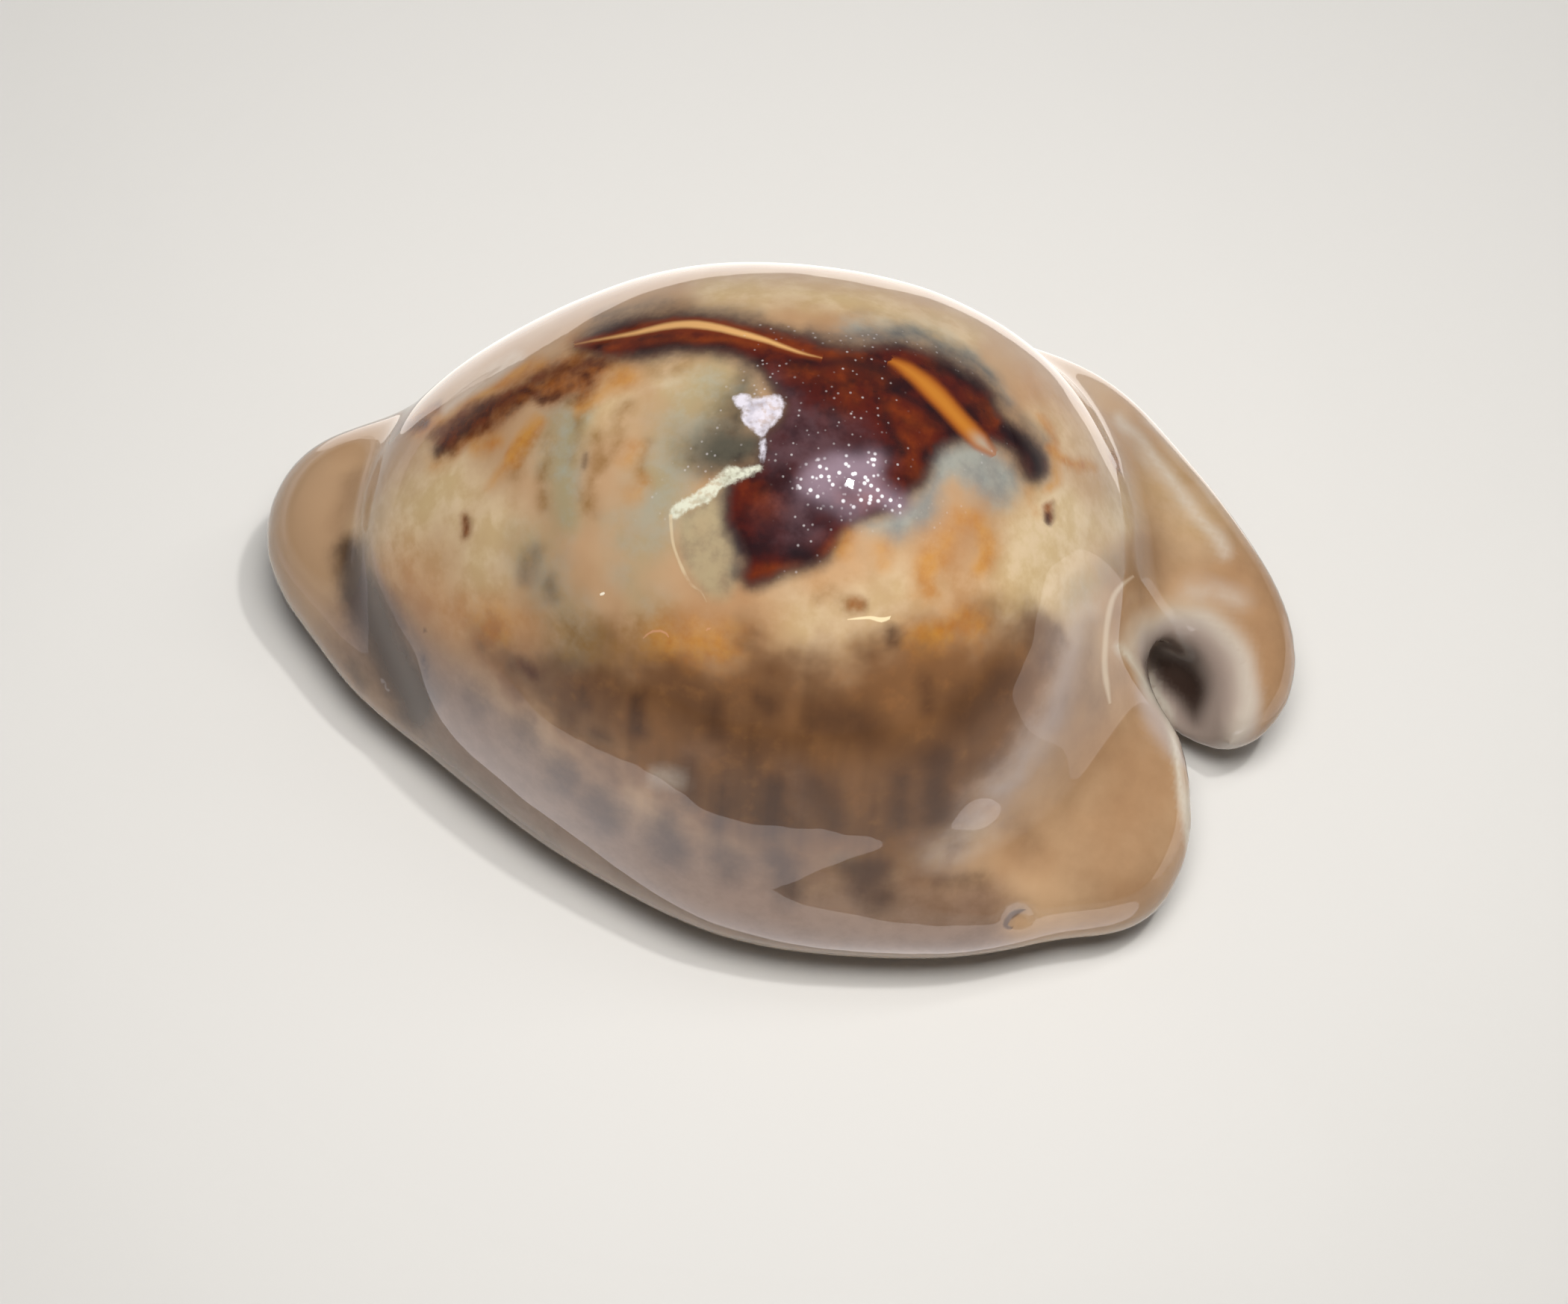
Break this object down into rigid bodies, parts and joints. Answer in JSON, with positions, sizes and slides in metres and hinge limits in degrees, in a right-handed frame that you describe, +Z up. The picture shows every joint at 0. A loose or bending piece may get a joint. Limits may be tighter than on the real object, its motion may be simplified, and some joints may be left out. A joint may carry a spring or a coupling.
{
  "type": "cowrie shell",
  "caption": "Glossy humped seashell with a callused margin, a narrow slit mouth along its base and a hooked lip curling over a canal at one end.",
  "frame": {"origin": "on the plane the shell rests on, under the middle of its bounding box", "axes": "+X from the front (anterior) end to the back (posterior) end, +Y towards the outer lip, +Z up through the humped back"},
  "size_m": [0.0514, 0.034, 0.0257],
  "materials": {
    "shell": "naturally glossy mother-of-shell glaze, tan to lavender brown, with an orange-brown line and a dark red-brown blotch on the back"
  },
  "bodies": {
    "root": {"shell": "shell"}
  },
  "joints": []
}
